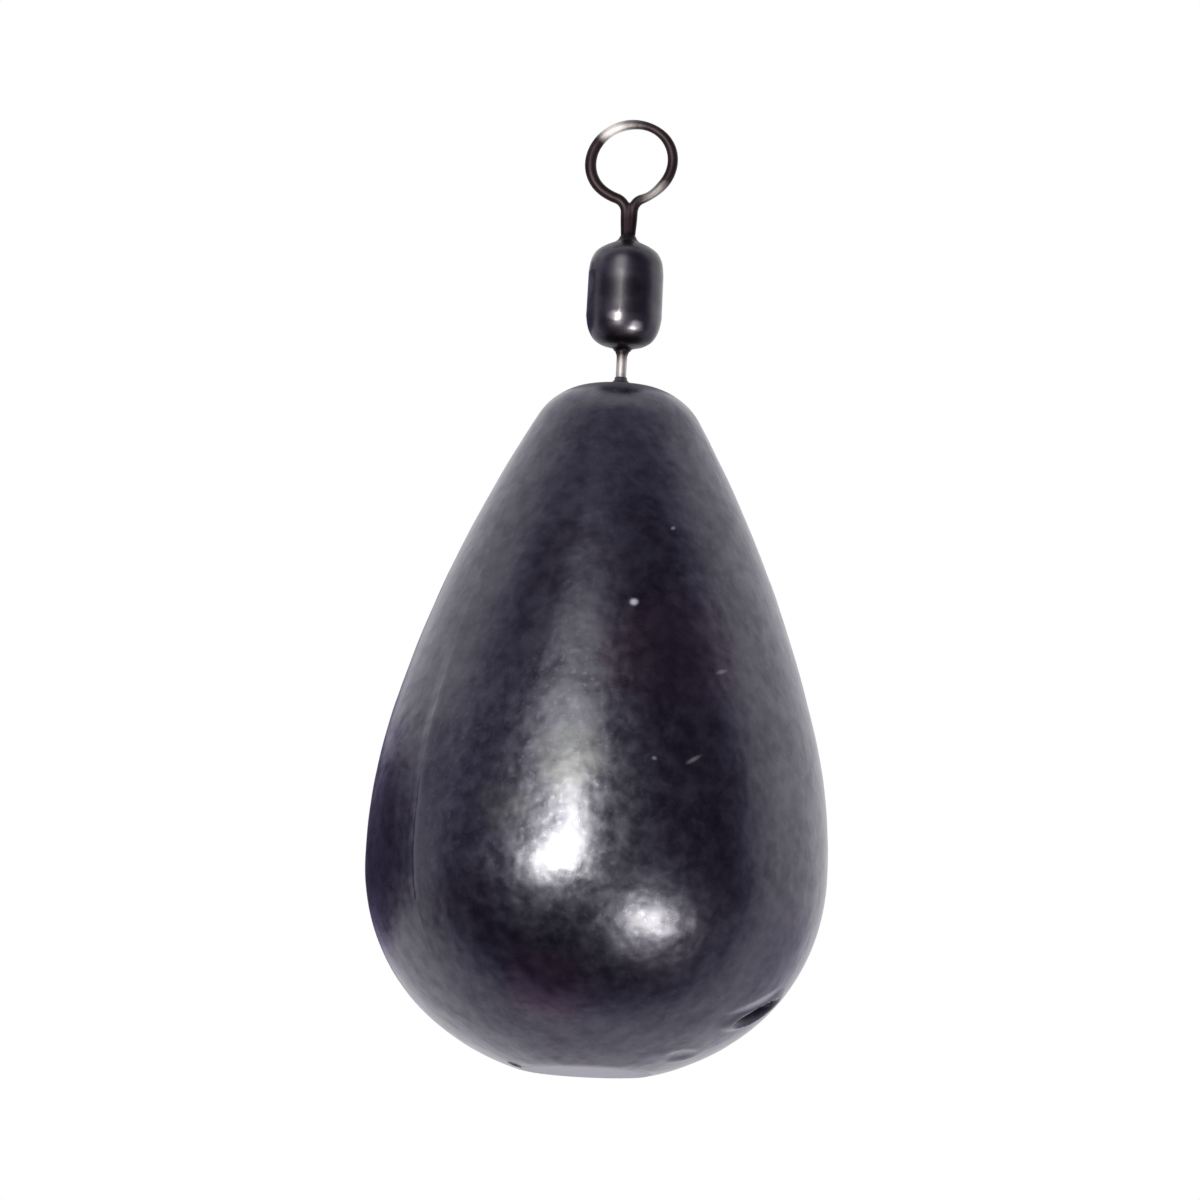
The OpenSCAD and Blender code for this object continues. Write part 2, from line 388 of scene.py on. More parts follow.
def paint_mould_line_highlight(tree, place, height, colour):
    """A painted highlight: paler metal on the crest of the mould line, round the belly."""
    off_line = maths(tree, "ABSOLUTE", along(tree, place, seam_side))
    crest = ramp(tree, off_line, 0.6 * MM, 0.15 * MM)
    belly = ramp(tree, height, 7 * MM, 10 * MM)
    belly = maths(tree, "MULTIPLY", belly, ramp(tree, height, 23 * MM, 17 * MM))
    # The crest of the mould line gets a painted highlight.
    crest_highlight = maths(tree, "MULTIPLY", maths(tree, "MULTIPLY", crest, belly), 0.6)
    return blend_colour(tree, crest_highlight, colour, (0.16, 0.157, 0.175))


def add_tints_and_halo_light(tree, place, colour):
    """Soft patches of colour with ragged edges; the grey-green ones round the main highlight are
    painted light.
    """
    for spot, reach, tint in tints_and_halo_light:
        tinted = add_patch(tree, place, spot, (reach, reach), ragged=1.5)
        colour = blend_colour(tree, maths(tree, "MULTIPLY", tinted, 0.5), colour, tint)
    return colour


def add_dull_places(tree, place, height, colour):
    """The trimmed foot, painted light on the top, the darker pit, scratch marks and a
    painted glint.

    Gives the colour, and a mask of these spots, where the smooth skin is missing.
    """
    trimmed = ramp(tree, height, 0.07 * MM, 0.01 * MM)
    colour = blend_colour(tree, trimmed, colour, (0.48, 0.477, 0.49))
    # The top of the lead under the barrel is painted lighter: painted light.
    crown = ramp(tree, height, (crown_z - 0.75) * MM, (crown_z - 0.3) * MM)
    colour = blend_colour(tree, crown, colour, (0.125, 0.121, 0.137))
    # The pit is painted darker.
    darker_in_pit = add_patch(tree, place, (71.5, 3.3), (1.85, 0.62), 36, 0.15)
    colour = blend_colour(tree, darker_in_pit, colour, (0.012, 0.011, 0.015))
    dull = maths(tree, "MAXIMUM", maths(tree, "MAXIMUM", trimmed, crown), darker_in_pit)
    for spot, reach, lean, tone in scratches_and_glint:
        mark = add_patch(tree, place, spot, reach, lean, edge=0.6)
        colour = blend_colour(tree, mark, colour, (tone, tone, tone * 1.06))
        dull = maths(tree, "MAXIMUM", dull, mark)
    return colour, dull


def make_lead_finish():
    material, tree, shader, place = start_metal("dark_cast_lead")
    height = put(tree, "ShaderNodeSeparateXYZ", {0: place}).outputs["Z"]
    lumps, clouds = add_grain(tree, place, 0.9, 2.6)
    grain, wisps = add_grain(tree, place, 0.3, 0.8)
    colour = skin_colour(tree, place, grain, wisps, clouds)
    colour = paint_mould_line_highlight(tree, place, height, colour)
    colour = add_tints_and_halo_light(tree, place, colour)
    colour, dull = add_dull_places(tree, place, height, colour)
    tree.links.new(colour, shader.inputs["Base Color"])
    shader.inputs["Specular Tint"].default_value = (0.95, 0.93, 1.0, 1)
    uneven = maths(tree, "ADD", maths(tree, "MULTIPLY", wisps, 0.08), 0.26)
    uneven = maths(tree, "ADD", uneven, maths(tree, "MULTIPLY", dull, 0.32))
    tree.links.new(uneven, shader.inputs["Roughness"])
    shine = maths(tree, "ADD", maths(tree, "MULTIPLY", wisps, 0.4), 0.2)
    shine = maths(tree, "MULTIPLY", shine, maths(tree, "SUBTRACT", 1.0, dull))
    tree.links.new(shine, shader.inputs["Coat Weight"])
    shader.inputs["Coat Roughness"].default_value = 0.22
    relief = maths(tree, "ADD", lumps, maths(tree, "MULTIPLY", grain, 0.08))
    bump = put(tree, "ShaderNodeBump", {"Height": relief, "Distance": 0.035 * MM})
    tree.links.new(bump.outputs[0], shader.inputs["Normal"])
    return material


lead_finish = make_lead_finish()
print("nodes in the lead's finish:", len(lead_finish.node_tree.nodes))

# %% [markdown]
# The wire is dark bronze, nearly black, and rubbed bright where line and tackle have
# worn it, on the left of the ring's top and low on its right; these bright spots are also
# painted highlight. The bright neck under the barrel is a painted highlight. The bright
# spots are masks round points of the wire, with ragged edges. The pressed legs between
# ring and barrel are painted darker, as painted shade.

# %% Finish of the wire
barrel_z = crown_z + 2.1
barrel_top = barrel_z + 5.4
ring_z = barrel_top + 1.75 + 2.56

# Each bright place, rubbed metal and painted highlight together, except the last, on the
# neck under the barrel, which is only a painted highlight: its middle, its half width and
# half height, and how bright it is.
rubs_and_highlights = [((-1.1, 0, ring_z + 1.6), (0.8, 0.75), 1.0), ((-0.8, 0, ring_z + 1.8), (1.25, 0.9), 0.4)]
rubs_and_highlights += [((1.35, 0, ring_z - 1.6), (1.0, 0.7), 0.34), ((0, 0, crown_z + 0.85), (0.9, 0.75), 0.75)]


def make_wire_finish():
    material, tree, shader, place = start_metal("dark_bronze_wire")
    grain, clouds = add_grain(tree, place, 0.6, 1.5)
    colour = blend_colour(tree, clouds, (0.034, 0.023, 0.025), (0.068, 0.052, 0.054))
    uneven = maths(tree, "ADD", maths(tree, "MULTIPLY", clouds, 0.1), 0.44)
    ways = ((1, 0, 0), (0, 0, 1))
    # The legs between ring and barrel are painted darker: painted shade.
    painted_shade_on_legs = patch_mask(tree, place, (0, 0, barrel_top + 0.9), ways, (0.8, 1.1), 0.3, 0.4)
    colour = blend_colour(tree, painted_shade_on_legs, colour, (0.024, 0.016, 0.02))
    # The bright spots: rubbed metal and painted highlight.
    for middle, reach, amount in rubs_and_highlights:
        bright_place = patch_mask(tree, place, middle, ways, reach, 0.5, 0.5)
        bright_place = maths(tree, "MULTIPLY", bright_place, amount)
        colour = blend_colour(tree, bright_place, colour, (0.88, 0.84, 0.81))
        uneven = maths(tree, "ADD", uneven, maths(tree, "MULTIPLY", bright_place, 0.15))
    tree.links.new(colour, shader.inputs["Base Color"])
    tree.links.new(uneven, shader.inputs["Roughness"])
    bump = put(tree, "ShaderNodeBump", {"Height": grain, "Distance": 0.004 * MM})
    tree.links.new(bump.outputs[0], shader.inputs["Normal"])
    return material


wire_finish = make_wire_finish()
print("nodes in the wire's finish:", len(wire_finish.node_tree.nodes))

# %% [markdown]
# The barrel is brass under a black plating, smoother than the lead. It was turned and
# drawn down at its ends, which leaves faint rings round it. Noise that changes mostly
# with height gives those rings, both in the bump and in the roughness. Its ends are
# duller and painted darker, as painted shade. Its left side has a painted reflection,
# its front has painted highlights, and a painted darker band lies between them.

# %% Finish of the barrel
# Each place of painted light and shade on the barrel: its middle over the barrel's foot,
# half width and height, tone. In turn: a painted reflection up the front, a painted dark
# band, two painted highlights low on the front, and a painted reflection on the left side.
painted_light_and_shade = [((-0.7, -1.85, 4.2), (1.1, 1.0), 0.12), ((-0.7, -1.85, 2.75), (1.2, 0.6), 0.04)]
painted_light_and_shade += [((-0.5, -1.85, 1.3), (0.5, 0.3), 0.18), ((0.7, -1.85, 0.85), (0.45, 0.3), 0.36)]
painted_light_and_shade += [((-1.9, -0.5, 3.0), (0.4, 2.2), 0.22)]


def make_barrel_finish():
    material, tree, shader, place = start_metal("black_plated_barrel")
    grain, clouds = add_grain(tree, place, 0.2, 1.4)
    stretched = put(tree, "ShaderNodeMapping", {"Vector": place, "Scale": (0.12, 0.12, 1.0)})
    wires = {"Vector": stretched.outputs[0], "Scale": 1 / (0.35 * MM), "Detail": 3.0}
    rings = put(tree, "ShaderNodeTexNoise", wires).outputs[0]
    colour = blend_colour(tree, clouds, (0.038, 0.034, 0.043), (0.088, 0.082, 0.096))
    height = put(tree, "ShaderNodeSeparateXYZ", {0: place}).outputs["Z"]
    drawn_low = ramp(tree, height, (barrel_z + 0.7) * MM, (barrel_z + 0.1) * MM)
    drawn_high = ramp(tree, height, (barrel_top - 0.7) * MM, (barrel_top - 0.1) * MM)
    # The drawn-in ends are duller, and their colour is darker: painted shade.
    dull_and_shaded_ends = maths(tree, "ADD", drawn_low, drawn_high)
    colour = blend_colour(tree, dull_and_shaded_ends, colour, (0.03, 0.026, 0.03))
    # Painted highlights, painted reflections and a painted dark band.
    for (right, back, up), reach, tone in painted_light_and_shade:
        middle = (right, back, barrel_z + up)
        mask = patch_mask(tree, place, middle, ((1, 0, 0), (0, 0, 1)), reach, 0.8, 0.4)
        mask = maths(tree, "MULTIPLY", mask, 0.7)
        colour = blend_colour(tree, mask, colour, (tone, tone * 0.97, tone * 1.08))
    tree.links.new(colour, shader.inputs["Base Color"])
    uneven = maths(tree, "ADD", maths(tree, "MULTIPLY", rings, 0.14), 0.31)
    tree.links.new(uneven, shader.inputs["Roughness"])
    shine = maths(tree, "MULTIPLY", maths(tree, "SUBTRACT", 1.0, dull_and_shaded_ends), 0.5)
    tree.links.new(shine, shader.inputs["Coat Weight"])
    shader.inputs["Coat Roughness"].default_value = 0.14
    relief = maths(tree, "ADD", rings, maths(tree, "MULTIPLY", grain, 0.4))
    bump = put(tree, "ShaderNodeBump", {"Height": relief, "Distance": 0.006 * MM})
    tree.links.new(bump.outputs[0], shader.inputs["Normal"])
    return material


barrel_finish = make_barrel_finish()
print("nodes in the barrel's finish:", len(barrel_finish.node_tree.nodes))

# %% [markdown]
# The lead, the barrel and the wire's round shank are all bodies of revolution. One
# Geometry Nodes group turns any outline about the Z axis: it wraps a flat grid round the
# axis, with one row for each point of the outline. The columns can be crowded together
# near one angle and its opposite, so that the fine mould line there gets enough points.

# %% Geometry Nodes: turn an outline about the axis
def make_turning_group():
    inputs = [("Outline", SHAPE), ("Columns", WHOLE), ("Crowding", NUMBER)]
    inputs += [("Crowded Turn", NUMBER)]
    tree, given, result = new_group("turn_outline", "GeometryNodeTree", inputs, [("Body", SHAPE)])
    size = put(tree, "GeometryNodeAttributeDomainSize", {0: given["Outline"]})
    rows = size.outputs["Point Count"]
    wires = {"Vertices X": maths(tree, "ADD", given["Columns"], 1), "Vertices Y": rows}
    grid = put(tree, "GeometryNodeMeshGrid", wires)
    flat = put(tree, "ShaderNodeSeparateXYZ", {0: grid.outputs["UV Map"]})
    last_row = maths(tree, "SUBTRACT", rows, 1)
    row = maths(tree, "ROUND", maths(tree, "MULTIPLY", flat.outputs["Y"], last_row))
    sample = put(tree, "GeometryNodeSampleIndex", data_type="FLOAT_VECTOR", domain="POINT")
    tree.links.new(given["Outline"], sample.inputs["Geometry"])
    tree.links.new(put(tree, "GeometryNodeInputPosition").outputs[0], sample.inputs["Value"])
    tree.links.new(row, sample.inputs["Index"])
    even = maths(tree, "MULTIPLY", flat.outputs["X"], 2 * math.pi)
    swing = maths(tree, "SINE", maths(tree, "MULTIPLY", even, 2))
    pulled = maths(tree, "MULTIPLY", swing, maths(tree, "MULTIPLY", given["Crowding"], 0.5))
    turn = maths(tree, "ADD", maths(tree, "SUBTRACT", even, pulled), given["Crowded Turn"])
    wires = {"Vector": sample.outputs[0], "Angle": turn}
    turned = put(tree, "ShaderNodeVectorRotate", wires, rotation_type="Z_AXIS")
    wires = {"Geometry": grid.outputs["Mesh"], "Position": turned.outputs[0]}
    wrapped = put(tree, "GeometryNodeSetPosition", wires)
    wires = {"Geometry": wrapped.outputs[0], "Distance": 0.0005}
    closed = put(tree, "GeometryNodeMergeByDistance", wires)
    tree.links.new(closed.outputs[0], result["Body"])
    return tree


turning_group = make_turning_group()
print("nodes in the turning group:", len(turning_group.nodes))

# %% [markdown]
# A casting shows its mould. The two halves left a fine ridge, and one half sits a hair
# further in than the other. The melt left slow lumps, a deep pit with a raised lip, some
# dimples and a pimple. All of them are small moves along the surface normal, so the tree
# adds them up and moves each point once. A dent is a group of its own, used many times.

# %% Geometry Nodes: one dent
def make_dent_group():
    inputs = [("Point", VECTOR)] + OVAL + [("Depth", NUMBER), ("Lip", NUMBER)]
    tree, given, result = new_group("dent", "GeometryNodeTree", inputs, [("Move", NUMBER)])
    squares, distance = measure_oval(tree, given, given["Point"])
    reach = maths(tree, "SQRT", squares)
    hollow = maths(tree, "MULTIPLY", ramp(tree, reach, 1.05, 0.35), given["Depth"])
    rising = ramp(tree, reach, 0.8, 1.15)
    falling = ramp(tree, reach, 1.7, 1.15)
    lip = maths(tree, "MULTIPLY", maths(tree, "MULTIPLY", rising, falling), given["Lip"])
    move = maths(tree, "SUBTRACT", lip, hollow)
    near = maths(tree, "LESS_THAN", distance, maths(tree, "MULTIPLY", given["Half Length"], 4.0))
    tree.links.new(maths(tree, "MULTIPLY", move, near), result["Move"])
    return tree


dent_group = make_dent_group()

# Each dent: its turn and height, half length, half width, lean, depth and lip.
# A negative depth is a pimple.
dents = [((71.5, 3.3), 1.6, 0.6, 36, 0.75, 0.14)]
dents += [((58, 0.9), 1.1, 0.6, 12, 0.08, 0.02)]
dents += [((90, 25.5), 0.5, 0.25, 80, 0.14, 0.03)]
dents += [((7.8, 23.5), 0.26, 0.26, 0, -0.09, 0.0)]
dents += [((-75, 0.12), 0.4, 0.3, 60, 0.2, 0.02)]
dents += [((150, 9.0), 1.1, 0.5, -30, 0.1, 0.02)]
dents += [((-150, 22.0), 0.8, 0.4, 50, 0.08, 0.02)]
print("dents on the lead:", len(dents))

# %% Geometry Nodes: the whole casting
def add_noise(tree, point, size, detail):
    """Noise from -1 to 1 with lumps of about this size in millimetres."""
    wires = {"Vector": point, "Scale": 1 / size, "Detail": detail}
    value = put(tree, "ShaderNodeTexNoise", wires).outputs[0]
    return maths(tree, "MULTIPLY", maths(tree, "SUBTRACT", value, 0.5), 2.0)


def add_seam(tree, given, point):
    """The mould line: a broken ridge, and the left half a little further in."""
    across = along(tree, point, given["Seam Side"])
    outward = maths(tree, "ABSOLUTE", along(tree, point, given["Seam Front"]))
    height = put(tree, "ShaderNodeSeparateXYZ", {0: point}).outputs["Z"]
    faded = maths(tree, "MULTIPLY", ramp(tree, outward, 4.0, 11.5), ramp(tree, height, 3.0, 9.0))
    faded = maths(tree, "MULTIPLY", faded, ramp(tree, height, 24.0, 16.0, 0.2, 1.0))
    off_line = maths(tree, "ABSOLUTE", across)
    half = maths(tree, "MULTIPLY", given["Seam Width"], 0.5)
    broken = maths(tree, "ADD", maths(tree, "MULTIPLY", add_noise(tree, point, 0.9, 2), 0.9), 0.75)
    ridge = maths(tree, "MULTIPLY", ramp(tree, off_line, half, 0.02), given["Seam Rise"])
    ridge = maths(tree, "MULTIPLY", ridge, broken)
    step = maths(tree, "MULTIPLY", ramp(tree, across, -0.02, 0.16), given["Half Step"])
    inward = maths(tree, "SUBTRACT", step, given["Half Step"])
    return maths(tree, "MULTIPLY", maths(tree, "ADD", ridge, inward), faded)


def add_dents(tree, point, move):
    """Adds the dents to what already moves the skin."""
    for spot, half_length, half_width, lean, depth, lip in dents:
        middle, around, upward = on_lead(*spot)
        lengthwise, crosswise = slanted(around, upward, lean)
        wires = {"Point": point, "Middle": middle, "Lengthwise": lengthwise}
        wires.update({"Crosswise": crosswise, "Half Length": half_length})
        wires.update({"Half Width": half_width, "Depth": depth, "Lip": lip})
        dent = put(tree, "GeometryNodeGroup", wires, node_tree=dent_group)
        move = maths(tree, "ADD", move, dent.outputs["Move"])
    return move


def squeeze_collar(tree, body, point, above_crown):
    """Makes the collar on the wire's neck narrower from left to right."""
    narrow = ramp(tree, above_crown, 0.0, 0.3, 1.0, 0.64)
    shares = put(tree, "ShaderNodeCombineXYZ", {"X": narrow, "Y": 1.0, "Z": 1.0}).outputs[0]
    wires = {0: point, 1: shares}
    squeezed = put(tree, "ShaderNodeVectorMath", wires, operation="MULTIPLY").outputs[0]
    wires = {"Geometry": body, "Position": squeezed}
    return put(tree, "GeometryNodeSetPosition", wires).outputs[0]


def set_finish(tree, body, finish):
    """Makes what the tree grew real, and gives it its finish."""
    real = put(tree, "GeometryNodeRealizeInstances", {"Geometry": body})
    wires = {"Geometry": real.outputs[0], "Material": finish}
    return put(tree, "GeometryNodeSetMaterial", wires).outputs[0]


def make_casting_tree():
    inputs = [("Outline", SHAPE), ("Columns", WHOLE), ("Seam Turn", NUMBER)]
    inputs += [("Seam Side", VECTOR), ("Seam Front", VECTOR), ("Seam Width", NUMBER)]
    inputs += [("Seam Rise", NUMBER), ("Half Step", NUMBER), ("Lump Size", NUMBER)]
    inputs += [("Lump Rise", NUMBER), ("Crown Height", NUMBER), ("Finish", FINISH)]
    tree, given, result = new_group("cast_lead", "GeometryNodeTree", inputs, [("Casting", SHAPE)])
    wires = {"Outline": given["Outline"], "Columns": given["Columns"]}
    wires.update({"Crowding": 0.7, "Crowded Turn": given["Seam Turn"]})
    body = put(tree, "GeometryNodeGroup", wires, node_tree=turning_group)
    point = put(tree, "GeometryNodeInputPosition").outputs[0]
    height = put(tree, "ShaderNodeSeparateXYZ", {0: point}).outputs["Z"]
    slow = maths(tree, "MULTIPLY", add_noise(tree, point, 6.0, 1), 0.05)
    lump_scale = maths(tree, "DIVIDE", 1.0, given["Lump Size"])
    wires = {"Vector": point, "Scale": lump_scale, "Detail": 2.0}
    lump_noise = put(tree, "ShaderNodeTexNoise", wires).outputs[0]
    lumps = maths(tree, "MULTIPLY", maths(tree, "SUBTRACT", lump_noise, 0.5), given["Lump Rise"])
    move = maths(tree, "ADD", slow, lumps)
    move = maths(tree, "ADD", move, add_seam(tree, given, point))
    move = add_dents(tree, point, move)
    over_foot = ramp(tree, height, 0.005, 0.08)
    under_crown = ramp(tree, maths(tree, "SUBTRACT", given["Crown Height"], height), -0.05, 0.4)
    free = maths(tree, "MULTIPLY", over_foot, under_crown)
    amount = maths(tree, "MULTIPLY", move, free)
    normal = put(tree, "GeometryNodeInputNormal").outputs[0]
    wires = {0: normal, "Scale": amount}
    shift = put(tree, "ShaderNodeVectorMath", wires, operation="SCALE").outputs[0]
    marked = put(tree, "GeometryNodeSetPosition", {"Geometry": body.outputs[0], "Offset": shift})
    above_crown = maths(tree, "SUBTRACT", height, given["Crown Height"])
    collared = squeeze_collar(tree, marked.outputs[0], point, above_crown)
    smooth = put(tree, "GeometryNodeSetShadeSmooth", {"Geometry": collared})
    tree.links.new(set_finish(tree, smooth.outputs[0], given["Finish"]), result["Casting"])
    return tree


casting_tree = make_casting_tree()
print("nodes in the casting's tree:", len(casting_tree.nodes))

# %% [markdown]
# Every tree is run in the same way. An outline or a path goes in as a mesh of edges, the
# modifier's named inputs are set, and the evaluated result becomes a plain mesh. The work
# is done in millimetres, where small distances are safe numbers, and the finished mesh is
# scaled down to metres once.

# %% Run a tree and keep its result
def thread(name, points):
    """A mesh of edges through the points, as the start of an outline or a path."""
    mesh = bpy.data.meshes.new(name)
    mesh.from_pydata(points, [(i, i + 1) for i in range(len(points) - 1)], [])
    piece = bpy.data.objects.new(name, mesh)
    bpy.context.scene.collection.objects.link(piece)
    return piece


def plain_mesh(name, start):
    """The evaluated result of an object's modifiers as a new plain object."""
    graph = bpy.context.evaluated_depsgraph_get()
    mesh = bpy.data.meshes.new_from_object(start.evaluated_get(graph), depsgraph=graph)
    mesh.name = name
    bpy.data.objects.remove(start)
    piece = bpy.data.objects.new(name, mesh)
    bpy.context.scene.collection.objects.link(piece)
    return piece


def run_tree(name, start, tree, values):
    """Runs a Geometry Nodes tree on a thread and gives the result in millimetres."""
    modifier = start.modifiers.new("grow", "NODES")
    modifier.node_group = tree
    for item in tree.interface.items_tree:
        if item.in_out == "INPUT" and item.name in values:
            modifier[item.identifier] = values[item.name]
    return plain_mesh(name, start)


def finish_mesh(piece, finish):
    """Joins doubles, turns the faces outwards, scales to metres and adds the finish."""
    work = bmesh.new()
    work.from_mesh(piece.data)
    bmesh.ops.remove_doubles(work, verts=work.verts, dist=0.0002)
    bmesh.ops.dissolve_degenerate(work, edges=work.edges, dist=0.0001)
    bmesh.ops.recalc_face_normals(work, faces=work.faces)
    if work.calc_volume(signed=True) < 0:
        bmesh.ops.reverse_faces(work, faces=work.faces)
    bmesh.ops.scale(work, verts=work.verts, vec=(MM, MM, MM))
    for face in work.faces:
        face.smooth = True
    work.to_mesh(piece.data)
    work.free()
    piece.data.materials.clear()
    piece.data.materials.append(finish)
    triangles = sum(len(face.vertices) - 2 for face in piece.data.polygons)
    print(piece.name, "triangles:", triangles)
    return piece


# %% The lead casting
casting_values = {
    "Columns": 500,
    "Seam Turn": seam_angle,
    "Seam Side": seam_side,
    "Seam Front": seam_front,
    "Seam Width": 1.3,
    "Seam Rise": 0.035,
    "Half Step": 0.022,
    "Lump Size": 1.3,
    "Lump Rise": 0.035,
    "Crown Height": crown_z,
    "Finish": lead_finish,
}
outline = thread("lead_outline", [(out, 0, height) for out, height in lead_points])
lead = run_tree("lead_casting", outline, casting_tree, casting_values)
finish_mesh(lead, lead_finish)

# %% [markdown]
# Each eye is one wire: up one leg, out round the loop and down the other leg, with both
# ends upset into a head inside the barrel. A path with a round section, whose thickness
# can change along the way, gives the bare wire. The upper loop was bent by hand and is
# slightly oval, and thinner where it was stretched. A voxel remesh then melts the pressed
# legs, the shank and the head into one skin, as the plating does on the real one.

# %% Geometry Nodes: a wire along a path
def make_wire_tree():
    inputs = [("Path", SHAPE), ("Wire Radius", NUMBER), ("Sides", WHOLE), ("Finish", FINISH)]
    tree, given, result = new_group("bent_wire", "GeometryNodeTree", inputs, [("Wire", SHAPE)])
    route = put(tree, "GeometryNodeMeshToCurve", {"Mesh": given["Path"]})
    wires = {"Resolution": given["Sides"], "Radius": given["Wire Radius"]}
    section = put(tree, "GeometryNodeCurvePrimitiveCircle", wires)
    thick = put(tree, "GeometryNodeInputNamedAttribute", {"Name": "thickness"})
    wires = {"Curve": route.outputs[0], "Profile Curve": section.outputs[0]}
    wires.update({"Scale": thick.outputs["Attribute"], "Fill Caps": True})
    swept = put(tree, "GeometryNodeCurveToMesh", wires)
    tree.links.new(set_finish(tree, swept.outputs[0], given["Finish"]), result["Wire"])
    return tree


wire_tree = make_wire_tree()
wire_r = 0.27
loop_r = 2.07
leg_x = 0.18
flare_r = 0.7


def smooth_step(value, start, end):
    """Goes smoothly from 0 to 1 while the value goes from start to end."""
    share = min(1.0, max(0.0, (value - start) / (end - start)))
    return share * share * (3 - 2 * share)


def eye_path(neck, depth):
    """One eye's wire, from a depth inside the barrel and back, as (side, height)."""
    flare_x = leg_x + flare_r
    rise = math.sqrt((loop_r + flare_r) ** 2 - flare_x ** 2)
    bend = math.atan2(rise, flare_x)
    steps = 16
    leg = []
    for i in range(steps + 1):
        height = -depth + (neck + depth) * i / steps
        leg.append((leg_x - 0.075 * smooth_step(neck - height, 0, neck), height))
    leg += arc((flare_x, neck), flare_r, math.pi, math.pi - bend, 0.08)
    loop = arc((0, neck + rise), loop_r, -bend, math.pi + bend, 0.12)
    back = [(-side, height) for side, height in reversed(leg)]
    return leg + loop + back[1:], neck + rise


def stretch(point, middle, long_way, long_share, short_share):
    """Makes the loop oval, and leaves the neck under it as it is."""
    side, height = point[0], point[1] - middle
    along_way = Vector((math.cos(long_way), math.sin(long_way)))
    across_way = Vector((-math.sin(long_way), math.cos(long_way)))
    flat = Vector((side, height))
    oval = along_way * flat.dot(along_way) * long_share
    oval += across_way * flat.dot(across_way) * short_share
    share = smooth_step(height, -2.6, -1.2)
    flat = flat.lerp(oval, share)
    return flat.x, flat.y + middle


def thickness_at(point, middle):
    """The wire's thickness at a point of the upper loop, as a share of the plain wire."""
    angle = math.degrees(math.atan2(point[1] - middle, point[0])) % 360
    thin = math.exp(-((angle - 62) / 28) ** 2) + math.exp(-((angle - 302) / 16) ** 2)
    thick = math.exp(-((angle - 190) / 40) ** 2)
    return 1.02 + 0.1 * thick - 0.17 * thin


print("wire thickness in millimetres:", 2 * wire_r)

# %% Shape of an eye
def turned_plug(name, outline_points):
    """A small turned piece: the shank and the head of an eye."""
    start = thread(name, [(out, 0, height) for out, height in outline_points])
    return run_tree(name, start, turning_group, {"Columns": 64})


def melt_together(name, parts, voxel, rounds):
    """Joins parts and remeshes them into one smooth skin."""
    work = bmesh.new()
    for part in parts:
        work.from_mesh(part.data)
        bpy.data.objects.remove(part)
    mesh = bpy.data.meshes.new(name)
    work.to_mesh(mesh)
    work.free()
    start = bpy.data.objects.new(name, mesh)
    bpy.context.scene.collection.objects.link(start)
    remesh = start.modifiers.new("melt", "REMESH")
    remesh.mode = "VOXEL"
    remesh.voxel_size = voxel
    relax = start.modifiers.new("relax", "SMOOTH")
    relax.factor = 0.5
    relax.iterations = rounds
    return plain_mesh(name, start)


def make_eye(name, neck, oval, place):
    """A whole eye in millimetres, put in its place by a matrix."""
    depth = 1.0
    path, middle = eye_path(neck, depth)
    shares = [1.0] * len(path)
    if oval:
        path = [stretch(p, middle, math.radians(25), 1.053, 0.945) for p in path]
        shares = [thickness_at(p, middle) if p[1] > neck else 1.0 for p in path]
    start = thread(name + "_path", [(side, 0, height) for side, height in path])
    attribute = start.data.attributes.new("thickness", "FLOAT", "POINT")
    attribute.data.foreach_set("value", shares)
    values = {"Wire Radius": wire_r, "Sides": 28, "Finish": wire_finish}
    bare = run_tree(name + "_wire", start, wire_tree, values)
    head_low, head_top = -1.15, -0.62
    plug = [(0, head_low), (0.75, head_low), (0.85, head_low + 0.1), (0.85, head_top)]
    plug += [(0.38, head_top), (0.38, 0.3), (0.34, 0.4), (0.29, 0.52), (0.275, 0.65)]
    plug += [(0.275, neck), (0.26, neck + 0.3), (0.2, neck + 0.42), (0, neck + 0.48)]
    parts = [bare, turned_plug(name + "_plug", plug)]
    eye = melt_together(name, parts, 0.03, 24)
    eye.data.transform(place)
    return finish_mesh(eye, wire_finish)


over_barrel = Matrix.Translation((0, 0, barrel_top))
under_barrel = Matrix.Translation((0, 0, barrel_z)) @ Matrix.Rotation(math.pi / 2, 4, "Z")
under_barrel = under_barrel @ Matrix.Rotation(math.pi, 4, "X")
upper_wire = make_eye("upper_wire", 1.67, True, over_barrel)
lower_wire = make_eye("lower_wire", 2.7, False, under_barrel)

# %% [markdown]
# The barrel is a small drum whose ends were drawn in until they hug the two shanks. Its
# shoulder is more of a cone than a ball, and it runs up the shank in a small hollow curve.
# A smooth curve through a few measured points gives that outline, and the group that
# turned the lead turns it too. Inside it is hollow, as in the CAD.

# %% The barrel
barrel_r = 1.975
hole_r = 0.41
top_end = [(hole_r, 0.36), (0.43, 0.33), (0.5, 0.2), (0.64, 0.07), (0.86, -0.03), (1.18, -0.18)]
top_end += [(1.54, -0.42), (1.75, -0.7), (1.88, -1.05), (1.955, -1.6)]
low_end = [(hole_r, 0.3), (0.43, 0.28), (0.48, 0.21), (0.6, 0.14), (0.83, 0.08), (1.17, -0.03)]
low_end += [(1.51, -0.26), (1.76, -0.62), (1.9, -1.03), (barrel_r, -1.5)]


def curve_through(points, parts):
    """A smooth curve through the points, with this many parts between two of them."""
    ends = [points[0]] + points + [points[-1]]
    made = []
    for a, b, c, d in zip(ends, ends[1:], ends[2:], ends[3:]):
        for i in range(parts):
            t = i / parts
            made.append(tuple(
                0.5 * (2 * q + (r - p) * t + (2 * p - 5 * q + 4 * r - s) * t * t
                       + (3 * q - p - 3 * r + s) * t ** 3)
                for p, q, r, s in zip(a, b, c, d)))
    return made + [points[-1]]


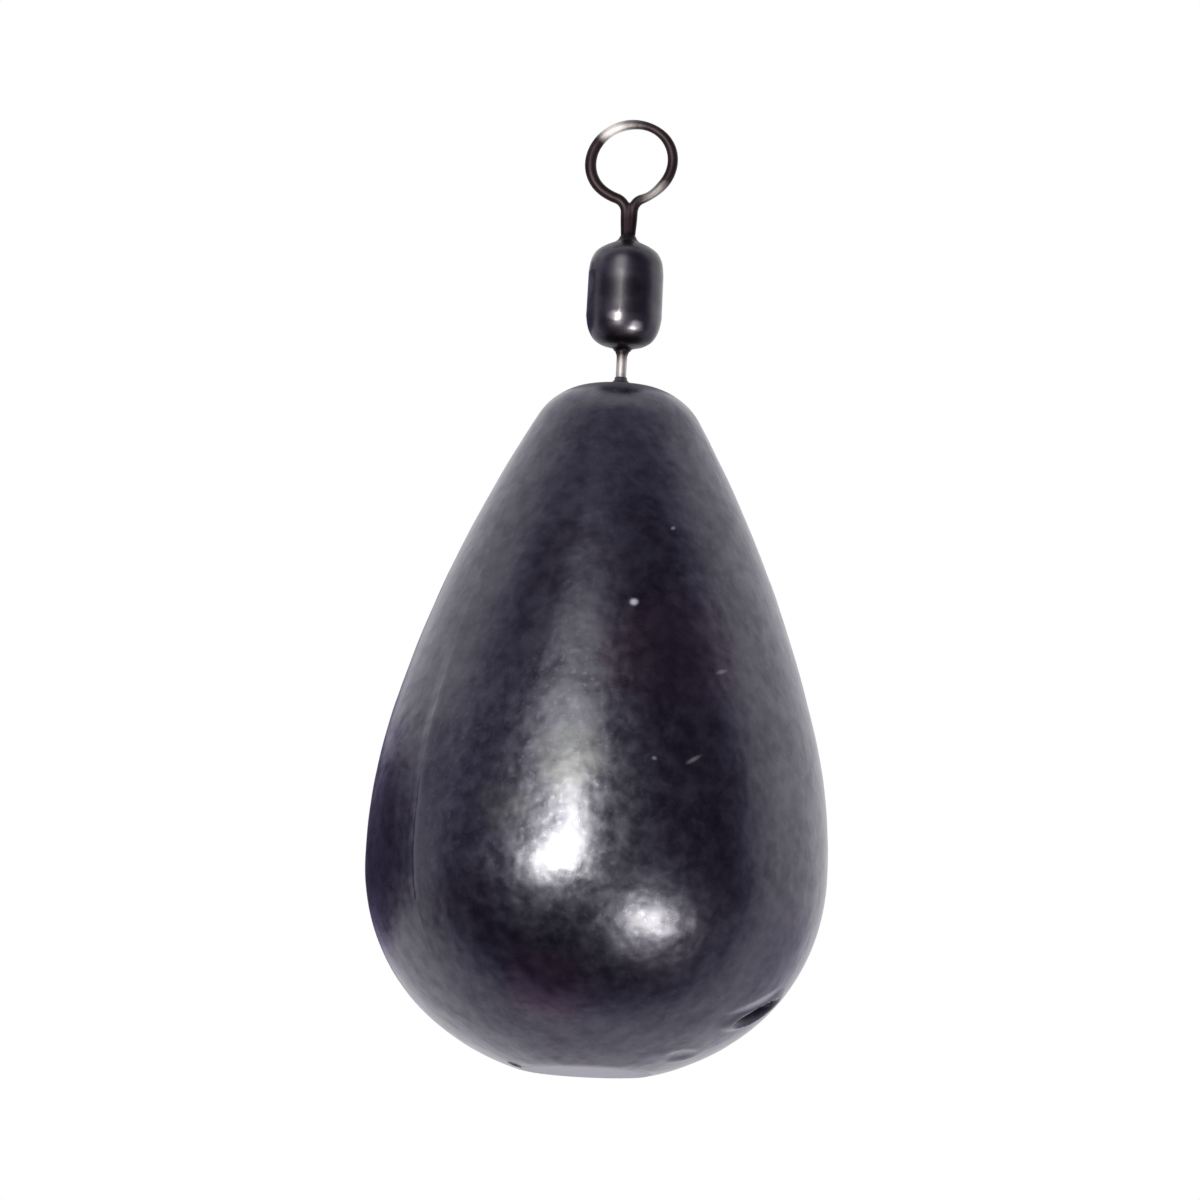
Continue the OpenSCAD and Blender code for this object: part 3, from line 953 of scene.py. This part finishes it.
def barrel_outline():
    """The barrel's closed section, outside and inside, as (distance out, height)."""
    length = barrel_top - barrel_z
    upper = [(out, length + drop) for out, drop in curve_through(top_end, 8)]
    lower = [(out, -drop) for out, drop in reversed(curve_through(low_end, 8))]
    side = []
    for i in range(1, 12):
        side.append(tuple(a + (b - a) * i / 12 for a, b in zip(upper[-1], lower[0])))
    outside = upper + side + lower
    wall, inner_r = 0.35, 1.2
    inside = [(hole_r, wall)]
    inside += arc((0.425, wall + inner_r), inner_r, -math.pi / 2 + 0.08, 0, 0.15)
    inside += arc((0.425, length - wall - inner_r), inner_r, 0, math.pi / 2 - 0.08, 0.15)
    inside += [(hole_r, length - wall), upper[0]]
    return [(out, height + barrel_z) for out, height in outside + inside]


section = [(out, 0, height) for out, height in barrel_outline()]
barrel = run_tree("barrel", thread("barrel_outline", section), turning_group, {"Columns": 192})
finish_mesh(barrel, barrel_finish)

# %% [markdown]
# Each piece now takes over from its CAD node and rides on that node's body, so the barrel
# and the upper eye still turn where the joints are.

# %% Put the pieces on their bodies
for piece, body, node, slot in (
    (lead, "lead", "lead_body", "lead"),
    (lower_wire, "lead", "lower_eye", "wire"),
    (barrel, "barrel", "swivel_barrel", "barrel"),
    (upper_wire, "eye", "upper_eye", "wire"),
):
    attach(piece, body)
    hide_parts(node)
    print(piece.name, "rides on", body)

# %% [markdown]
# The floor is a plain pale disc. The camera stands below its level, so its underside lets
# the camera see through, and its top keeps the sinker's shadow. Reflections pass it and
# find the white backdrop, which goes on below, and so does the light of the low lamp.

# %% Floor
def make_floor_finish():
    material = bpy.data.materials.new("pale_floor")
    material.use_nodes = True
    tree = material.node_tree
    shader = tree.nodes["Principled BSDF"]
    shader.inputs["Roughness"].default_value = 0.9
    shader.inputs["Specular IOR Level"].default_value = 0.1
    place = tree.nodes.new("ShaderNodeTexCoord").outputs["Object"]
    noise = put(tree, "ShaderNodeTexNoise", {"Vector": place, "Scale": 40.0}).outputs[0]
    colour = blend_colour(tree, noise, (0.84, 0.84, 0.84), (0.87, 0.87, 0.87))
    tree.links.new(colour, shader.inputs["Base Color"])
    rays = tree.nodes.new("ShaderNodeLightPath").outputs
    behind = tree.nodes.new("ShaderNodeNewGeometry").outputs["Backfacing"]
    open_way = maths(tree, "MAXIMUM", behind, rays["Is Shadow Ray"])
    open_way = maths(tree, "MAXIMUM", open_way, rays["Is Glossy Ray"])
    clear = tree.nodes.new("ShaderNodeBsdfTransparent")
    both = put(tree, "ShaderNodeMixShader", {0: open_way})
    tree.links.new(shader.outputs[0], both.inputs[1])
    tree.links.new(clear.outputs[0], both.inputs[2])
    tree.links.new(both.outputs[0], tree.nodes["Material Output"].inputs["Surface"])
    return material


floor_radius = 1.5
floor_mesh = bpy.data.meshes.new("floor")
disc = bmesh.new()
bmesh.ops.create_circle(disc, cap_ends=True, segments=96, radius=floor_radius)
bmesh.ops.translate(disc, verts=disc.verts, vec=(0, 0, -0.03 * MM))
disc.to_mesh(floor_mesh)
disc.free()
floor = bpy.data.objects.new("floor", floor_mesh)
bpy.context.scene.collection.objects.link(floor)
floor_mesh.materials.append(make_floor_finish())
print("floor radius in metres:", floor_radius)

# %% [markdown]
# The sinker stands before a white backdrop, in a room that is dimmer on the camera's
# side. That is what gives dark metal its form: a near black centre and grey rims. The
# world says how bright each direction is. It holds a few soft shades, the strongest of
# which darken the lead's left rim, and a few soft glows, which spread round the lamps.
# Two lamps on the left, one over the other, make the highlight with a tip like a flame,
# and one low on the right makes the small highlight beside it.

# %% World and lamps
def direction(turn, rise):
    """A direction from the sinker; turn is to the right of the camera, in degrees."""
    turn, rise = math.radians(turn), math.radians(rise)
    right = math.sin(turn) * math.cos(rise)
    forward = math.cos(turn) * math.cos(rise)
    return Vector((right, -forward, math.sin(rise)))


def soft_spot(tree, way, turn, rise, half_width, half_height, edge):
    """A mask over an oval part of the world; the half sizes are sines of angles."""
    centre = direction(turn, rise)
    beside = direction(turn + 90, 0)
    across = maths(tree, "DIVIDE", along(tree, way, beside), half_width)
    up = maths(tree, "DIVIDE", along(tree, way, beside.cross(centre)), half_height)
    squares = maths(tree, "ADD", maths(tree, "POWER", across, 2.0), maths(tree, "POWER", up, 2.0))
    inside = ramp(tree, maths(tree, "SQRT", squares), 1 + edge, 1 - edge)
    facing = maths(tree, "GREATER_THAN", along(tree, way, centre), 0.0)
    return maths(tree, "MULTIPLY", inside, facing)


# Each glow: turn and rise in degrees, half width and half height, brightness.
soft_glows = [(-28, 10, 0.5, 0.45, 0.25), (-20, 29, 0.26, 0.33, 1.7), (32, -33, 0.38, 0.32, 0.55)]
# Each shade: turn and rise, half width and half height, edge, and how much it takes away.
soft_shades = [(-132, 1.5, 0.5, 0.24, 0.2, 0.85), (-166, 5, 0.26, 0.1, 0.3, 0.85)]
soft_shades += [(-78, -24, 0.3, 0.2, 0.4, 0.4), (130, -18, 0.5, 0.24, 0.4, 0.25)]
soft_shades += [(-101, 17, 0.25, 0.13, 0.5, 0.35)]


def make_world():
    world = bpy.data.worlds.new("studio")
    world.use_nodes = True
    tree = world.node_tree
    background = tree.nodes["Background"]
    way = tree.nodes.new("ShaderNodeTexCoord").outputs["Generated"]
    # The backdrop is white, and the room behind the camera a tenth as bright.
    to_camera = along(tree, way, tuple(-looks_along))
    room = ramp(tree, to_camera, -0.22, 0.36, 1.0, 0.1)
    upward = along(tree, way, (0, 0, 1))
    ceiling = ramp(tree, upward, 0.45, 1.0, 1.0, 0.78)
    ground = ramp(tree, upward, -0.3, -0.85, 1.0, 0.82)
    level = maths(tree, "MULTIPLY", maths(tree, "MULTIPLY", room, ceiling), ground)
    for turn, rise, half_width, half_height, edge, amount in soft_shades:
        shade = soft_spot(tree, way, turn, rise, half_width, half_height, edge)
        kept = maths(tree, "SUBTRACT", 1.0, maths(tree, "MULTIPLY", shade, amount))
        level = maths(tree, "MULTIPLY", level, kept)
    level = maths(tree, "ADD", level, ramp(tree, upward, 0.72, 1.0, 0.0, 0.3))
    for turn, rise, half_width, half_height, amount in soft_glows:
        glow = soft_spot(tree, way, turn, rise, half_width, half_height, 0.6)
        level = maths(tree, "ADD", level, maths(tree, "MULTIPLY", glow, amount))
    # The camera sees plain white, also through the floor.
    rays = tree.nodes.new("ShaderNodeLightPath").outputs
    seen = maths(tree, "MAXIMUM", rays["Is Camera Ray"], rays["Is Transmission Ray"])
    strength = maths(tree, "MAXIMUM", level, seen)
    tree.links.new(strength, background.inputs["Strength"])
    # What is dim in the room is also violet.
    tint = blend_colour(tree, strength, (0.56, 0.4, 1.0), (1, 1, 1))
    tree.links.new(tint, background.inputs["Color"])
    return world


# The lamps face this height, near the lead's widest ring.
lamps_face = 11


def soft_lamp(name, turn, rise, distance, size, radiance):
    """A soft oval lamp that faces the sinker; turn is to the right of the camera."""
    way = direction(turn, rise)
    data = bpy.data.lights.new(name, "AREA")
    data.shape = "ELLIPSE"
    data.size, data.size_y = size[0] * MM, size[1] * MM
    area = data.size * data.size_y * math.pi / 4
    data.energy = radiance * math.pi * area
    data.color = (0.985, 0.985, 0.87)
    data.cycles.use_multiple_importance_sampling = False
    lamp = bpy.data.objects.new(name, data)
    lamp.location = Vector((0, 0, lamps_face * MM)) + way * distance * MM
    lamp.rotation_euler = (-way).to_track_quat("-Z", "Y").to_euler()
    lamp.visible_camera = False
    bpy.context.scene.collection.objects.link(lamp)


bpy.context.scene.world = make_world()
soft_lamp("main_lamp", -19.5, -1.5, 150, (58, 38), 21)
soft_lamp("upper_lamp", -14, 9.7, 150, (22, 51), 20)
soft_lamp("low_lamp", 32, -33, 260, (96, 44), 26)
print("lamps:", [light.name for light in bpy.data.lights])
